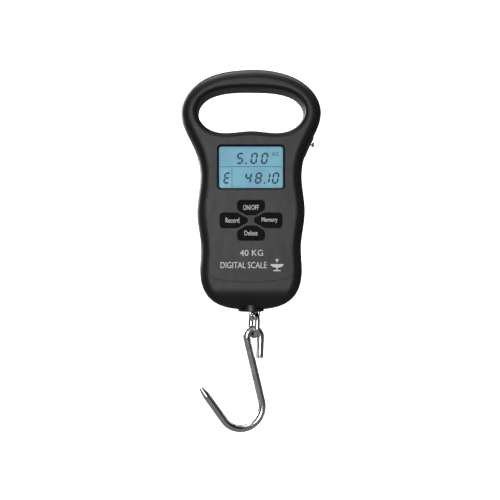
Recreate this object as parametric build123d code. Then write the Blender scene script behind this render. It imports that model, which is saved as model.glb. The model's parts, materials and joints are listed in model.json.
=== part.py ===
from build123d import *
import math
import os

# Hand-held digital fish scale: plastic casing with a finger opening, display, four buttons,
# pull-out tape measure and a wire hook that hangs from a swivelling eye.
# Millimetres. X right, front faces -Y, Z up. The origin is the centre of the finger opening, where
# the scale is held, in the plane where the two casing halves meet. The heights below are measured
# from the collar's bottom face, and every part is lowered by HOLD_Z when it is written out.

HOLD_Z = 143.4           # height of the finger opening's centre

# ---- casing ----
FRONT_Y = -14.0          # front plane
REAR_Y = 16.0            # back plane
WALL = 2.3
FRONT_INNER_Y = FRONT_Y + WALL
REAR_INNER_Y = REAR_Y - WALL
FIT_GAP = 0.05           # between fixed parts that touch
SHELL_STEP = 0.4         # the rear half stands out past the front half all round
FRONT_ROUND = 7.0
REAR_ROUND = 6.0
OPENING_ROUND = 3.4
FOOT_RADIUS = 17.3       # side-view rounding under the casing
FOOT_CENTRE_Z = 17.0
CAVITY_ROUND = 4.6
CAVITY_TOP = 121.6
GRIP_THICK = 1.5
GRIP_PROUD = 0.25
GRIP_FRONT_Y = -8.6
GRIP_REAR_Y = 10.6

# right half of the front view, (x, z), from the top centre round to the bottom centre
CASE_POINTS = [
    (0, 172.3), (25.8, 168.7), (40.9, 160.1), (48.8, 148.6), (50.1, 140.8), (46.6, 128.6),
    (38.7, 111.4), (36.4, 97.0), (38.65, 71.2), (35.9, 45.4), (36.6, 29.6), (32.2, 12.4),
    (24.5, 5.4), (12.5, 1.8), (0, 0.9),
]
OPENING_POINTS = [
    (0, 158.5), (24.4, 156.2), (34.6, 150.4), (38.1, 143.0), (36.0, 135.3), (30.2, 129.6),
    (21.0, 126.8), (0, 128.0),
]

# ---- groove round the button panel ----
GROOVE_INSET = 6.6
GROOVE_WIDTH = 0.7
GROOVE_DEPTH = 0.7
GROOVE_TOP = 88.0
GROOVE_BOTTOM = 21.0
GROOVE_SAG_R = 130.0     # radius of the shallow curve below the panel
GROOVE_CORNER_R = 6.5

# ---- display ----
LCD_Z = 102.3
LCD_OPEN = (45.0, 29.2)
LCD_BEVEL = 1.4
WINDOW_SIZE = (50.0, 34.2)
WINDOW_THICK = 1.2
GLASS_SIZE = (48.0, 32.0)
GLASS_THICK = 1.6
BACKLIGHT_SIZE = (46.0, 27.0)
HOLDER_SIZE = (51.4, 35.4)

GLASS_Y = -10.4
ZEBRA_SIZE = (42.0, 1.6)
ZEBRA_OFFSET = 14.75

# ---- buttons ----
PAD_Z = 64.9
CAP_TOP_Y = -14.9
CAP_GAP = 0.15
CAP_FLANGE = 0.35
CAP_CHAMFER = 0.35
FLANGE_Y = (-11.65, -10.9)
SWITCH_SIDE = 6.0
SWITCH_TOP_Y = -10.0
PLUNGER_R = 1.7
PLUNGER_LENGTH = 1.7
PETAL_ROUNDS = (2.6, 3.0, 1.2)   # outer corners, shoulders, nose
# name: (turn of the petal about the pad centre, half width, outer end, shoulder, inner end, nose)
PETALS = {
    "power": (0, 9.6, 14.15, 7.4, 3.85, 3.2),
    "record": (90, 5.3, 21.9, 9.6, 2.4, 1.3),
    "delete": (180, 9.6, 14.15, 7.4, 3.85, 3.2),
    "memory": (270, 5.3, 21.9, 9.6, 2.4, 1.3),
}
SWITCH_OFFSET = {"power": 9.2, "record": 12.4, "delete": 9.2, "memory": 12.4}

# ---- circuit board ----
BOARD_FRONT_Y = -7.0
BOARD_BACK_Y = -5.4
BOARD_X = 25.4
BOARD_Z = (46.0, 120.6)
BOARD_SCREWS = [(-22.0, 82.0), (22.0, 82.0), (-21.5, 50.0), (21.5, 50.0)]

CHIP_AT = (-1.0, 58.0)
CHIP_SIDE = 9.0

# ---- casing screws, (x, z) ----
BODY_SCREWS = [(-27.5, 22.0), (27.5, 22.0), (-29.4, 84.0), (29.4, 84.0)]
HANDLE_SCREWS = [(-43.2, 141.0), (43.2, 141.0), (0.0, 164.6)]
SCREW_SEAT_Y = 9.0
SCREW_TIP_Y = -8.5
SCREW_R = 1.25
PILOT_R = 1.3
COUNTERBORE_R = 2.8

# ---- load train ----
CELL_X = 15.0            # half width of the load cell
CELL_Y = 5.5             # half depth
CELL_Z = (9.0, 37.0)
LOWER_SLOT = (15.5, 22.0)
UPPER_SLOT = (30.5, 32.0)
SLOT_REACH = 9.0         # how far each slot runs past the centre
GAUGE_HOLE_R = 3.0
GAUGE_HOLE_X = 5.0
PLATE = 2.0              # thickness of the hanger plate
PLATE_Y = 7.5
PLATE_X = 14.0
HANGER_SCREWS = [(-10.0, 17.0), (10.0, 17.0), (-10.0, 31.0), (10.0, 31.0)]
CELL_SCREW_X = 8.0
ROD_R = 2.5
ROD_TOP = 21.2
NUT_HEIGHT = 4.6
NUT_ACROSS = 8.0
EYE_WIRE_R = 1.2
EYE_BEND_R = 3.35
EYE_STRAIGHT = 2.0
EYE_OFFSET = 2.8         # loop centre from the rod's axis
EYE_TURN = 26.0          # turn of the eye about the load axis, at rest
EYE_BOTTOM_Z = -5.2      # lowest point of the loop's centre line
LINK_WIRE_R = 1.9
LINK_BEND_R = 5.2
LINK_LENGTH = 15.6       # between the centre lines of its two ends
LINK_TOP_Z = -2.0
LINK_LEAN = 2.6          # small sideways lean, at rest
HOOK_WIRE_R = 2.65
HOOK_EYE_R = 5.1
HOOK_LEAN = 13.5         # lean of the shank from the load axis
HOOK_TURN = 14.0
HOOK_SEAT = 0.08         # gap between the hook's eye and the link it hangs on
HOOK_LEG_END = (4.6, -14.1)
HOOK_LEG_CAP = 1.4
HOOK_SHANK = 46.8
HOOK_BEND_R = 15.5
HOOK_BEND_SWEEP = 158.0
HOOK_ARM = 22.2          # straight part of the arm, before the tapered tip
HOOK_TAPER = 7.0
HOOK_TIP_R = 1.5

# ---- batteries ----
CELL_R = 5.2
CELL_LENGTH = 43.4
NUB_R = 1.9
NUB_LENGTH = 0.9
BATTERY_X = 5.45
BATTERY_Y = 6.5
BAY_Z = (43.0, 90.2)
BAY_X = 11.2
BAY_FLOOR_Y = 1.2
BAY_WALL = 1.2
CONTACT_THICK = 0.4
DOOR_X = 13.6
DOOR_MARGIN_Z = 2.5
DOOR_THICK = 1.6
DOOR_GAP = 0.15
SPRING_SPACE = 2.4

# ---- tape measure ----
REEL_X = 10.0
REEL_Z = 107.6
COIL_R = 12.4
HUB_R = 7.0
HUB_WALL = 0.8
FLANGE_R = 13.4
FLANGE_THICK = 0.8
AXLE_R = 2.0
TAPE_WIDTH = 6.8
TAPE_Y = 7.0
TAPE_THICK = 0.16
TAB_X = (43.9, 45.5)
MOUTH_PROUD = 0.7        # the rim round the tape's slot stands out from the side by this
MOUTH_Y = (2.4, 11.6)
MOUTH_Z = (111.5, 125.0)
COVER_EAR = 16.4         # distance of the cover's two screws from the axle
SPRING_TURNS = 5
TAPE_Z = REEL_Z + COIL_R + 0.02
REEL_FRONT_Y = TAPE_Y - TAPE_WIDTH / 2 - 0.2 - FLANGE_THICK
REEL_BACK_Y = TAPE_Y + TAPE_WIDTH / 2 + 0.2 + FLANGE_THICK
COVER_Y = (1.0, 2.0)


def closed_spline(points):
    """Smooth left-right symmetric loop through points that list its right half."""
    left = [(-x, z) for x, z in reversed(points[1:-1])]
    return Spline(*points, *left, periodic=True)


def inset_points(points, inset):
    """The same points moved inward along the loop's own normals."""
    loop = closed_spline(points)
    moved = []
    for x, z in points:
        tangent = loop % loop.param_at_point(Vector(x, z))
        moved.append((x + inset * tangent.Y, z - inset * tangent.X))
    moved[0] = (0, moved[0][1])
    moved[-1] = (0, moved[-1][1])
    return moved


def mirrored_face(points, inset=0.0):
    """Closed left-right symmetric outline as a face standing in the X-Z plane."""
    loop = closed_spline(inset_points(points, inset) if inset else points)
    return Plane.XZ * make_face(loop)


def prism(face, from_y, to_y):
    """Sweep a face that stands in the X-Z plane from one Y to another."""
    low, high = sorted((from_y, to_y))
    return extrude(Pos(0, high, 0) * face, amount=high - low)


def rect_face(width, height, x=0.0, z=0.0, radius=0.0):
    """Rectangle, rounded if a radius is given, standing in the X-Z plane."""
    sketch = RectangleRounded(width, height, radius) if radius else Rectangle(width, height)
    return Plane.XZ * (Pos(x, z) * sketch)


def disc_face(radius, x=0.0, z=0.0):
    return Plane.XZ * (Pos(x, z) * Circle(radius))


def rod_y(radius, from_y, to_y, x=0.0, z=0.0):
    """Round bar along Y."""
    return prism(disc_face(radius, x, z), from_y, to_y)


def rod_z(radius, from_z, to_z, x=0.0, y=0.0):
    """Round bar along Z."""
    length = to_z - from_z
    return Pos(x, y, from_z + length / 2) * Cylinder(radius, length)


def box_between(x, y, z):
    """Box from three (low, high) pairs."""
    size = [high - low for low, high in (x, y, z)]
    centre = [(high + low) / 2 for low, high in (x, y, z)]
    return Pos(*centre) * Box(*size)


def side_profile(face_y, foot_radius):
    """Side view of one casing half, swept across X: flat face with a rounded foot."""
    direction = math.copysign(1, face_y)
    centre_y = face_y - direction * foot_radius
    foot = Pos(centre_y, FOOT_CENTRE_Z) * Circle(foot_radius)
    far_y = -direction * 60
    upper = Pos((face_y + far_y) / 2, FOOT_CENTRE_Z + 100) * Rectangle(abs(face_y - far_y), 200)
    behind = Pos((centre_y + far_y) / 2, 80) * Rectangle(abs(centre_y - far_y), 240)
    sketch = Plane.YZ * (foot + upper + behind)
    return extrude(sketch, amount=80, both=True)


def rounded_half(points, inset, face_y, foot_radius, rounding):
    """One casing half, from the parting plane to face_y, with every outer edge rounded."""
    body = prism(mirrored_face(points, inset), 0, face_y) & side_profile(face_y, foot_radius)
    edges = [e for e in body.edges() if e.geom_type != GeomType.LINE and abs((e @ 0.5).Y) > 1]
    return fillet(edges, rounding)


def cavity_half(extra_inset, face_y):
    """Hollow of one casing half, below the finger opening."""
    direction = math.copysign(1, face_y)
    inner_y = face_y - direction * WALL
    block = rounded_half(CASE_POINTS, extra_inset + WALL, inner_y, FOOT_RADIUS - WALL, CAVITY_ROUND)
    return block & box_between((-80, 80), (-40, 40), (-10, CAVITY_TOP))


def round_opening(body, face_y):
    """Round the edge where the finger opening meets the casing face."""
    found = []
    for edge in body.edges():
        middle = edge @ 0.5
        on_face = abs(middle.Y - face_y) < 0.05
        if on_face and abs(middle.X) < 40 and 125 < middle.Z < 160:
            found.append(edge)
    return fillet(found, OPENING_ROUND)


def grip_seat():
    """Space that the finger opening's liner takes out of the two casing halves."""
    face = mirrored_face(OPENING_POINTS, -GRIP_THICK - FIT_GAP)
    return prism(face, GRIP_FRONT_Y - FIT_GAP, GRIP_REAR_Y + FIT_GAP)


def make_handle_grip():
    """Liner of the finger opening, standing a little proud of the casing's own edge."""
    outer = prism(mirrored_face(OPENING_POINTS, -GRIP_THICK), GRIP_FRONT_Y, GRIP_REAR_Y)
    return outer - prism(mirrored_face(OPENING_POINTS, GRIP_PROUD), GRIP_FRONT_Y - 1, GRIP_REAR_Y + 1)


def petal_face(name, grow=0.0):
    """Button outline: full width at the outer end, tapering towards the pad's centre."""
    turn, half, outer, shoulder, inner, nose = PETALS[name]
    right = [(half + grow, outer + grow), (half + grow, shoulder), (nose + grow / 2, inner - grow)]
    left = [(-x, y) for x, y in reversed(right)]
    sketch = make_face(Polyline(*right, *left, close=True))
    for (x, y), radius in zip(right, PETAL_ROUNDS):
        corners = sketch.vertices().filter_by_position(Axis.Y, y - 0.01, y + 0.01)
        sketch = fillet(corners, radius)
    return Plane.XZ * (Pos(0, PAD_Z) * Rot(0, 0, turn) * sketch)


def switch_position(name):
    """(x, z) of the switch under a button."""
    turn = math.radians(PETALS[name][0])
    reach = SWITCH_OFFSET[name]
    return -reach * math.sin(turn), PAD_Z + reach * math.cos(turn)


def make_button(name):
    """Cap that passes through the front wall, with a flange that keeps it in."""
    cap = prism(petal_face(name), CAP_TOP_Y, FLANGE_Y[0])
    rim = cap.faces().sort_by(Axis.Y)[0].edges()
    cap = chamfer(rim, CAP_CHAMFER)
    return cap + prism(petal_face(name, CAP_GAP + CAP_FLANGE), *FLANGE_Y)


def make_plunger(name):
    x, z = switch_position(name)
    return rod_y(PLUNGER_R, FLANGE_Y[1], FLANGE_Y[1] + PLUNGER_LENGTH, x, z)


def make_switch_bases():
    bases = []
    for name in PETALS:
        x, z = switch_position(name)
        base = prism(rect_face(SWITCH_SIDE, SWITCH_SIDE, x, z, 0.4), SWITCH_TOP_Y, BOARD_FRONT_Y)
        bases.append(base - rod_y(PLUNGER_R + 0.05, SWITCH_TOP_Y - 1, SWITCH_TOP_Y + 1.5, x, z))
    return Compound(children=bases)


def lcd_face(size, radius=0.0, x=0.0):
    return rect_face(size[0], size[1], x, LCD_Z, radius)


def lcd_hole():
    """Window opening in the front wall, with a bevelled rim."""
    rim = (LCD_OPEN[0] + 2 * LCD_BEVEL, LCD_OPEN[1] + 2 * LCD_BEVEL)
    at_front = Pos(0, FRONT_Y, 0) * lcd_face(rim, 3.0)
    at_depth = Pos(0, FRONT_Y + LCD_BEVEL, 0) * lcd_face(LCD_OPEN, 1.6)
    return loft([at_front, at_depth]) + prism(lcd_face(LCD_OPEN, 1.6), FRONT_Y + 1, FRONT_Y + 4)


def make_lcd_window():
    """Clear plate behind the front wall, stepped up into the opening."""
    back = FRONT_INNER_Y + FIT_GAP
    step = (LCD_OPEN[0] - 0.2, LCD_OPEN[1] - 0.2)
    plate = prism(lcd_face(WINDOW_SIZE, 1.0), back, back + WINDOW_THICK)
    return plate + prism(lcd_face(step, 1.5), back - 0.8, back)


def make_lcd_glass():
    return prism(lcd_face(GLASS_SIZE), GLASS_Y, GLASS_Y + GLASS_THICK)


def make_lcd_backlight():
    return prism(lcd_face(BACKLIGHT_SIZE), GLASS_Y + GLASS_THICK + FIT_GAP, BOARD_FRONT_Y - 0.3)


def make_lcd_holder():
    inner = (GLASS_SIZE[0] + 0.2, GLASS_SIZE[1] + 0.2)
    outer = prism(lcd_face(HOLDER_SIZE, 1.0), GLASS_Y, BOARD_FRONT_Y)
    return outer - prism(lcd_face(inner), GLASS_Y - 1, BOARD_FRONT_Y + 1)


def make_zebra_strips():
    """Contact strips pressed between the display glass and the board."""
    strips = []
    for side in (-1, 1):
        face = rect_face(ZEBRA_SIZE[0], ZEBRA_SIZE[1], 0, LCD_Z + side * ZEBRA_OFFSET)
        strips.append(prism(face, GLASS_Y + GLASS_THICK, BOARD_FRONT_Y))
    return Compound(children=strips)


def make_main_board():
    middle = sum(BOARD_Z) / 2
    face = rect_face(2 * BOARD_X, BOARD_Z[1] - BOARD_Z[0], 0, middle, 2.0)
    board = prism(face, BOARD_FRONT_Y, BOARD_BACK_Y)
    for x, z in BOARD_SCREWS:
        board -= rod_y(1.1, BOARD_FRONT_Y - 1, BOARD_BACK_Y + 1, x, z)
    return board


def make_controller_chip():
    x, z = CHIP_AT
    return prism(rect_face(CHIP_SIDE, CHIP_SIDE, x, z, 0.5), BOARD_BACK_Y, BOARD_BACK_Y + 1.4)


def make_board_components():
    """Small parts on the back of the board: converter, crystal and two rows of chip parts."""
    pieces = [
        prism(rect_face(5.0, 6.2, 9.0, 58.0), BOARD_BACK_Y, BOARD_BACK_Y + 1.5),
        prism(rect_face(8.0, 3.0, -11.0, 66.0, 1.4), BOARD_BACK_Y, BOARD_BACK_Y + 2.4),
    ]
    for column in range(6):
        for row, height in enumerate((0.6, 0.9)):
            face = rect_face(1.6, 0.9, -8.0 + 3.2 * column, 70.0 + 3.0 * row)
            pieces.append(prism(face, BOARD_BACK_Y, BOARD_BACK_Y + height))
    return Compound(children=pieces)


def cross_recess(head_radius, depth):
    """Cross slot centred on the Y axis, cut from Y = 0 towards -Y."""
    arms = Rectangle(head_radius * 1.2, head_radius * 0.3)
    cross = arms + Rot(0, 0, 90) * arms
    return prism(Plane.XZ * cross, -depth, 0.1)


def make_screw(head_radius, head_height, shank_radius, length):
    """Pan-head screw: underside of the head at the origin, shank towards -Y."""
    head = rod_y(head_radius, 0, head_height)
    head = fillet(head.edges().sort_by(Axis.Y)[-1], head_height * 0.4)
    head -= Pos(0, head_height, 0) * cross_recess(head_radius, head_height * 0.6)
    return head + rod_y(shank_radius, -length, 0)


def make_case_screws():
    screw = make_screw(2.5, 1.8, SCREW_R, SCREW_SEAT_Y - SCREW_TIP_Y)
    places = BODY_SCREWS + HANDLE_SCREWS
    return Compound(children=[Pos(x, SCREW_SEAT_Y, z) * screw for x, z in places])


def make_board_screws():
    screw = make_screw(1.9, 1.2, 0.8, 5.4)
    return Compound(children=[Pos(x, BOARD_BACK_Y, z) * screw for x, z in BOARD_SCREWS])


def make_hanger_screws():
    """Screws through the hanger plate into the rear casing, heads towards the load cell."""
    screw = Rot(0, 0, 180) * make_screw(2.3, 1.3, 1.1, 6.5)
    return Compound(children=[Pos(x, PLATE_Y, z) * screw for x, z in HANGER_SCREWS])


def make_cell_screws():
    screw = Rot(90, 0, 0) * make_screw(2.6, 1.6, 1.4, 6.0)
    top = CELL_Z[1] + PLATE
    return Compound(children=[Pos(x, 0, top) * screw for x in (-CELL_SCREW_X, CELL_SCREW_X)])


def make_cover_screws():
    screw = Rot(0, 0, 180) * make_screw(1.7, 1.0, 0.8, 6.0)
    places = (REEL_X - COVER_EAR, REEL_X + COVER_EAR)
    return Compound(children=[Pos(x, COVER_Y[0], REEL_Z) * screw for x in places])


def bush_outside(gap=0.0):
    """Collar without its funnel: flange, waist that the casing grips, and inner lip."""
    profile = [
        (0, -gap), (9.3 + gap, -gap), (9.3 + gap, 2.0 + gap), (8.2 + gap, 2.0 + gap),
        (8.2 + gap, 4.2 - gap), (9.0 + gap, 4.2 - gap), (9.0 + gap, 5.6), (5.0, 7.7 + gap),
        (0, 7.7 + gap),
    ]
    return revolve(Plane.XZ * make_face(Polyline(*profile, close=True)), Axis.Z)


def make_hook_bush():
    """Collar at the bottom of the casing, with a funnel that lets the eye turn."""
    funnel = [(0, -1), (7.9, -1), (7.7, 4.0), (2.8, 6.2), (2.8, 9), (0, 9)]
    body = bush_outside()
    rim = body.edges().filter_by(GeomType.CIRCLE).sort_by(Axis.Z)[0]
    body = fillet(rim, 0.7)
    return body - revolve(Plane.XZ * make_face(Polyline(*funnel, close=True)), Axis.Z)


def panel_face(margin):
    """Panel outline: parallel to the casing's sides, with a shallow curve and round corners below."""
    sides = make_face(closed_spline(inset_points(CASE_POINTS, GROOVE_INSET + margin)))
    sag = Pos(0, GROOVE_BOTTOM + GROOVE_SAG_R) * Circle(GROOVE_SAG_R - margin)
    outline = sides & sag
    corners = outline.vertices().sort_by(Axis.Y)[:2]
    return Plane.XZ * fillet(corners, GROOVE_CORNER_R - margin)


def groove_cut():
    """Thin channel that frames the button panel: down both sides and across below it."""
    outer = prism(panel_face(0), FRONT_Y - 1, FRONT_Y + GROOVE_DEPTH)
    inner = prism(panel_face(GROOVE_WIDTH), FRONT_Y - 2, FRONT_Y + GROOVE_DEPTH + 1)
    below_top = box_between((-60, 60), (-30, 0), (0, GROOVE_TOP))
    return (outer - inner) & below_top


def front_bosses():
    """Posts inside the front half: casing screws and board screws."""
    start = FRONT_INNER_Y - 0.5
    posts = [rod_y(3.4, start, 0, x, z) for x, z in BODY_SCREWS]
    posts += [rod_y(2.2, start, BOARD_FRONT_Y, x, z) for x, z in BOARD_SCREWS]
    return posts


def front_holes():
    """Screw pilots, button holes, window, panel groove and collar seat."""
    holes = [rod_y(PILOT_R, SCREW_TIP_Y - 0.5, 1, x, z) for x, z in BODY_SCREWS + HANDLE_SCREWS]
    holes += [rod_y(0.85, FRONT_INNER_Y, BOARD_FRONT_Y + 1, x, z) for x, z in BOARD_SCREWS]
    holes += [prism(petal_face(name, CAP_GAP), FRONT_Y - 1, FRONT_INNER_Y + 1) for name in PETALS]
    return holes + [lcd_hole(), groove_cut(), bush_outside(FIT_GAP)]


def make_front_shell():
    shell = rounded_half(CASE_POINTS, SHELL_STEP, FRONT_Y, FOOT_RADIUS, FRONT_ROUND)
    shell -= prism(mirrored_face(OPENING_POINTS), FRONT_Y - 1, 1)
    shell = round_opening(shell, FRONT_Y)
    shell -= grip_seat()
    shell -= cavity_half(SHELL_STEP, FRONT_Y)
    for boss in front_bosses():
        shell += boss
    for hole in front_holes():
        shell -= hole
    return shell


def battery_bay():
    """Tub for the two batteries, open towards the back."""
    low, high = BAY_Z
    across = BAY_X + BAY_WALL
    tub = box_between((-across, across), (0, REAR_INNER_Y + 0.5), (low - BAY_WALL, high + BAY_WALL))
    return tub


def rear_bosses():
    """Posts inside the rear half: casing, hanger and tape cover screws, and the tape axle."""
    end = REAR_INNER_Y + 0.5
    posts = [rod_y(3.9, 0, end, x, z) for x, z in BODY_SCREWS]
    posts += [rod_y(3.0, PLATE_Y + PLATE, end, x, z) for x, z in HANGER_SCREWS]
    for x in (REEL_X - COVER_EAR, REEL_X + COVER_EAR):
        posts.append(rod_y(2.0, COVER_Y[1], end, x, REEL_Z))
    posts.append(rod_y(4.0, REEL_BACK_Y + 0.4, end, REEL_X, REEL_Z))
    return posts


def rear_holes():
    """Screw passages, battery bay, door recess, tape slot and collar seat."""
    holes = []
    for x, z in BODY_SCREWS + HANDLE_SCREWS:
        holes.append(rod_y(SCREW_R + 0.25, -1, SCREW_SEAT_Y + 1, x, z))
        holes.append(rod_y(COUNTERBORE_R, SCREW_SEAT_Y, REAR_Y + 1, x, z))
    holes += [rod_y(1.15, PLATE_Y, REAR_Y - 1.6, x, z) for x, z in HANGER_SCREWS]
    for x in (REEL_X - COVER_EAR, REEL_X + COVER_EAR):
        holes.append(rod_y(0.85, COVER_Y[0], COVER_Y[1] + 5.5, x, REEL_Z))
    holes.append(rod_y(AXLE_R + 0.02, 0, REAR_INNER_Y, REEL_X, REEL_Z))
    holes.append(box_between((-BAY_X, BAY_X), (BAY_FLOOR_Y, REAR_Y + 1), BAY_Z))
    for x in (-BATTERY_X, BATTERY_X):
        holes.append(box_between((x - 1.7, x + 1.7), (-1, 2), (BAY_Z[0], BAY_Z[0] + 0.6)))
    low, high = BAY_Z[0] - DOOR_MARGIN_Z, BAY_Z[1] + DOOR_MARGIN_Z
    recess = rect_face(2 * DOOR_X, high - low, 0, (low + high) / 2, 1.5)
    holes.append(prism(recess, REAR_Y - DOOR_THICK, REAR_Y + 1))
    slot_y = (TAPE_Y - TAPE_WIDTH / 2 - 0.4, TAPE_Y + TAPE_WIDTH / 2 + 0.4)
    holes.append(box_between((36, 60), slot_y, (TAPE_Z - 0.6, TAPE_Z + 0.7)))
    return holes + [bush_outside(FIT_GAP)]


def tape_mouth():
    """Raised rim on the right side, round the slot that the tape comes out of."""
    swollen = prism(mirrored_face(CASE_POINTS, -MOUTH_PROUD), *MOUTH_Y)
    outside = swollen - prism(mirrored_face(CASE_POINTS, WALL / 2), MOUTH_Y[0] - 1, MOUTH_Y[1] + 1)
    return outside & box_between((30, 60), MOUTH_Y, MOUTH_Z)


def make_rear_shell():
    shell = rounded_half(CASE_POINTS, 0, REAR_Y, FOOT_RADIUS, REAR_ROUND)
    shell -= prism(mirrored_face(OPENING_POINTS), -1, REAR_Y + 1)
    shell = round_opening(shell, REAR_Y)
    shell -= grip_seat()
    shell -= cavity_half(0, REAR_Y)
    shell += battery_bay()
    shell += tape_mouth()
    for boss in rear_bosses():
        shell += boss
    for hole in rear_holes():
        shell -= hole
    return shell


def make_battery_door():
    """Flush door with a row of grip grooves."""
    low, high = BAY_Z[0] - DOOR_MARGIN_Z + DOOR_GAP, BAY_Z[1] + DOOR_MARGIN_Z - DOOR_GAP
    face = rect_face(2 * (DOOR_X - DOOR_GAP), high - low, 0, (low + high) / 2, 1.4)
    door = prism(face, REAR_Y - DOOR_THICK + 0.02, REAR_Y)
    for row in range(5):
        groove = rect_face(12, 0.9, 0, high - 6 - 1.8 * row, 0.4)
        door -= prism(groove, REAR_Y - 0.6, REAR_Y + 1)
    return door


def make_batteries():
    """Two cells side by side, the second turned end for end."""
    low, high = BAY_Z
    body_z = low + SPRING_SPACE
    left = rod_z(CELL_R, body_z, body_z + CELL_LENGTH, -BATTERY_X, BATTERY_Y)
    left += rod_z(NUB_R, body_z + CELL_LENGTH, body_z + CELL_LENGTH + NUB_LENGTH, -BATTERY_X, BATTERY_Y)
    top = high - SPRING_SPACE
    right = rod_z(CELL_R, top - CELL_LENGTH, top, BATTERY_X, BATTERY_Y)
    right += rod_z(NUB_R, top - CELL_LENGTH - NUB_LENGTH, top - CELL_LENGTH, BATTERY_X, BATTERY_Y)
    return Compound(children=[left, right])


def make_battery_contacts():
    """Two plates with solder tails at the bottom of the bay, and one bridge at the top."""
    low, high = BAY_Z
    plates = []
    for x in (-BATTERY_X, BATTERY_X):
        plate = box_between((x - 4, x + 4), (2, 11), (low + 0.05, low + 0.05 + CONTACT_THICK))
        tail = box_between((x - 1.5, x + 1.5), (-1.6, 2), (low + 0.05, low + 0.05 + CONTACT_THICK))
        plates.append(plate + tail)
    bridge = ((-9.6, 9.6), (2, 11), (high - 0.05 - CONTACT_THICK, high - 0.05))
    plates.append(box_between(*bridge))
    return Compound(children=plates)


def make_battery_springs():
    """Coil springs at the flat end of each battery."""
    path = Helix(pitch=0.62, height=1.24, radius=2.6)
    section = Plane(origin=path @ 0, z_dir=path % 0) * Circle(0.22)
    coil = sweep(section, path)
    low = BAY_Z[0] + CONTACT_THICK + 0.3
    high = BAY_Z[1] - CONTACT_THICK - 0.3 - 1.24
    return Compound(children=[Pos(-BATTERY_X, BATTERY_Y, low) * coil,
                              Pos(BATTERY_X, BATTERY_Y, high) * coil])


def wire_along(points, radius):
    """Round wire through points."""
    path = Spline(*points)
    return sweep(Plane(origin=path @ 0, z_dir=path % 0) * Circle(radius), path)


def make_battery_wires():
    wires = []
    for x in (-BATTERY_X, BATTERY_X):
        points = [(x, -2.1, BAY_Z[0] + 0.25), (x * 1.2, -4.0, 46.0), (x * 1.3, -4.85, 51.0)]
        wires.append(wire_along(points, 0.45))
    return Compound(children=wires)


def make_cell_cable():
    """Four gauge leads from the load cell up to the board."""
    leads = []
    for index in range(4):
        x = -1.5 + index
        points = [(x, -6.0, 27.0), (x, -6.1, 35.0), (x, -5.2, 42.0), (x, -4.8, 49.0)]
        leads.append(wire_along(points, 0.35))
    return Compound(children=leads)


def make_load_cell():
    """S-shaped bending block with a gauge window through its middle beam."""
    low, high = CELL_Z
    depth = (-CELL_Y - 1, CELL_Y + 1)
    cell = box_between((-CELL_X, CELL_X), (-CELL_Y, CELL_Y), CELL_Z)
    cell = fillet(cell.edges().filter_by(Axis.Y), 1.0)
    cell -= box_between((-SLOT_REACH, CELL_X + 1), depth, LOWER_SLOT)
    cell -= box_between((-CELL_X - 1, SLOT_REACH), depth, UPPER_SLOT)
    middle = (LOWER_SLOT[1] + UPPER_SLOT[0]) / 2
    for side in (-1, 1):
        cell -= rod_y(GAUGE_HOLE_R, depth[0], depth[1], side * GAUGE_HOLE_X, middle)
        cell -= rod_z(1.5, high - 5, high + 1, side * CELL_SCREW_X)
    cell -= box_between((-GAUGE_HOLE_X, GAUGE_HOLE_X), depth, (middle - 0.8, middle + 0.8))
    return cell - rod_z(ROD_R + 0.05, low - 1, LOWER_SLOT[0] + 1)


def make_strain_gauges():
    """Film gauges on both faces of the thin beam sections."""
    gauges = []
    for x in (-GAUGE_HOLE_X, GAUGE_HOLE_X):
        for z in (LOWER_SLOT[1] - 0.2, UPPER_SLOT[0] + 0.02):
            gauges.append(box_between((x - 2, x + 2), (-2.5, 2.5), (z, z + 0.18)))
    return Compound(children=gauges)


def make_hanger_plate():
    """Bent steel plate that hangs the load cell from the rear casing."""
    top = CELL_Z[1] + PLATE
    upright = box_between((-PLATE_X, PLATE_X), (PLATE_Y, PLATE_Y + PLATE), (12, top))
    shelf = box_between((-PLATE_X, PLATE_X), (1.5 - CELL_Y, PLATE_Y), (CELL_Z[1], top))
    plate = upright + shelf
    for x, z in HANGER_SCREWS:
        plate -= rod_y(1.3, PLATE_Y - 1, PLATE_Y + PLATE + 1, x, z)
    for x in (-CELL_SCREW_X, CELL_SCREW_X):
        plate -= rod_z(1.6, CELL_Z[1] - 1, top + 1, x)
    return plate


def make_eye_nut():
    """Self-locking nut that carries the eye's rod on the load cell's lower arm."""
    low = LOWER_SLOT[0] + 0.03
    hexagon = RegularPolygon(NUT_ACROSS / 2, 6, major_radius=False)
    nut = extrude(Pos(0, 0, low) * hexagon, amount=NUT_HEIGHT)
    return nut - rod_z(ROD_R, low - 1, low + NUT_HEIGHT + 1)


def oval_ring(bend_radius, straight, wire_radius):
    """Closed oval of round wire in the X-Z plane, centred on the origin, long way up."""
    outline = Plane.XZ * SlotCenterToCenter(straight, 2 * bend_radius, rotation=90)
    path = outline.wires()[0]
    return sweep(Plane(origin=path @ 0, z_dir=path % 0) * Circle(wire_radius), path)


def make_load_eye():
    """Rod on the load axis with a loop bent to one side of it."""
    centre_z = EYE_BOTTOM_Z + EYE_BEND_R + EYE_STRAIGHT / 2
    loop = Pos(EYE_OFFSET, 0, centre_z) * oval_ring(EYE_BEND_R, EYE_STRAIGHT, EYE_WIRE_R)
    rod = rod_z(ROD_R, 1.4, ROD_TOP)
    rod = chamfer(rod.edges().filter_by(GeomType.CIRCLE), 0.5)
    return Rot(0, 0, EYE_TURN) * (loop + rod)


def make_link():
    """Closed wire link, square to the eye it hangs in."""
    ring = oval_ring(LINK_BEND_R, LINK_LENGTH - 2 * LINK_BEND_R, LINK_WIRE_R)
    hung = Rot(0, LINK_LEAN, 0) * Pos(0, 0, -LINK_LENGTH / 2) * Rot(0, 0, 90) * ring
    return Rot(0, 0, EYE_TURN) * Pos(EYE_OFFSET, 0, LINK_TOP_Z) * hung


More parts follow.
